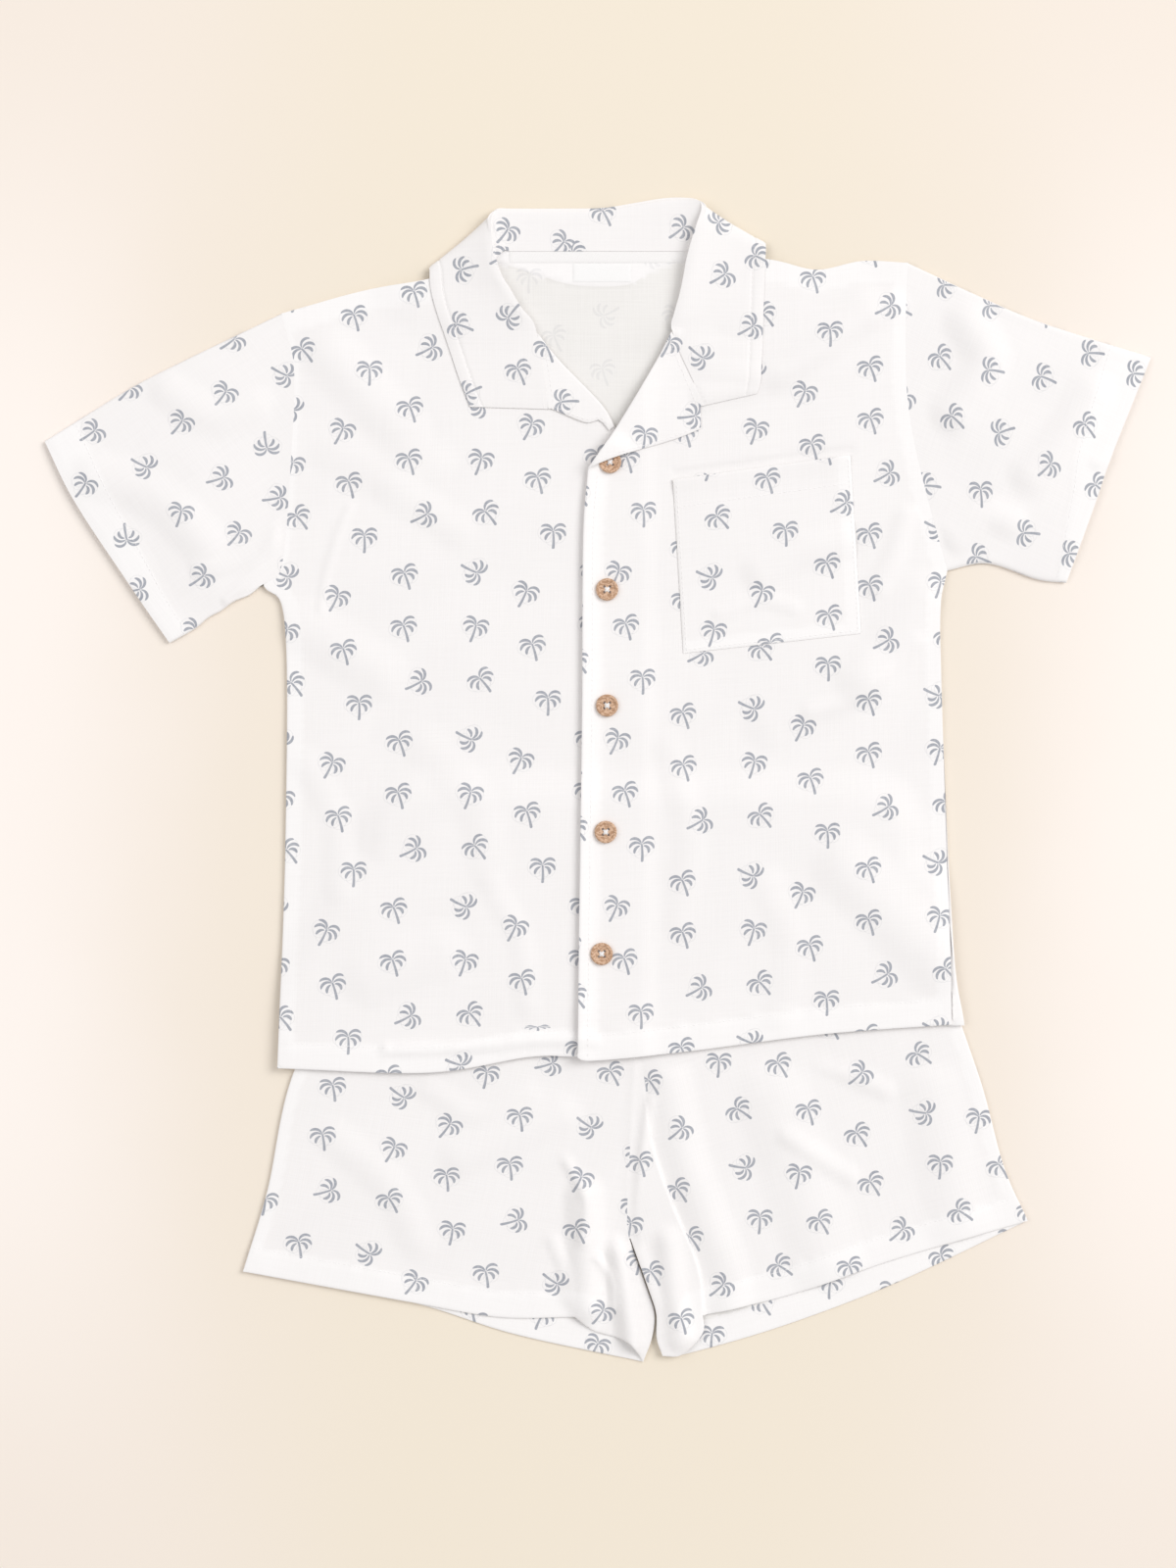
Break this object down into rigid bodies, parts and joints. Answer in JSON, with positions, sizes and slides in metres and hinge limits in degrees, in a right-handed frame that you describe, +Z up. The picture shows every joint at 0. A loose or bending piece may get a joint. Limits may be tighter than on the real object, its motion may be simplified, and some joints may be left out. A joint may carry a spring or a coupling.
{
  "type": "pyjama set",
  "caption": "Child's summer pyjama set laid flat: short-sleeved shirt with open camp collar, patch pocket and wooden buttons, lying over matching shorts, white cloth with a small palm print.",
  "frame": {"origin": "middle of the flat set's bounding box, on the surface that it lies on", "axes": "+Z up out of the surface, +Y from the shorts to the collar, +X to the wearer's left, the viewer's right"},
  "size_m": [0.633, 0.6662, 0.0097],
  "materials": {
    "cloth": "matt white slub cotton with a small slate-grey palm print",
    "tape": "matt white cotton tape",
    "label": "smooth white woven label, blank",
    "button_wood": "matt light brown wood with white thread"
  },
  "bodies": {
    "root": {"shirt_back": "cloth", "shirt_front_right": "cloth", "shirt_front_left": "cloth", "sleeve_right": "cloth", "sleeve_left": "cloth", "collar": "cloth", "facing_right": "cloth", "facing_left": "cloth", "pocket": "cloth", "neck_tape": "tape", "neck_label": "label", "button_1": "button_wood", "button_2": "button_wood", "button_3": "button_wood", "button_4": "button_wood", "button_5": "button_wood", "shorts_front_right": "cloth", "shorts_front_left": "cloth", "shorts_back_right": "cloth", "shorts_back_left": "cloth", "waistband": "cloth"}
  },
  "joints": []
}
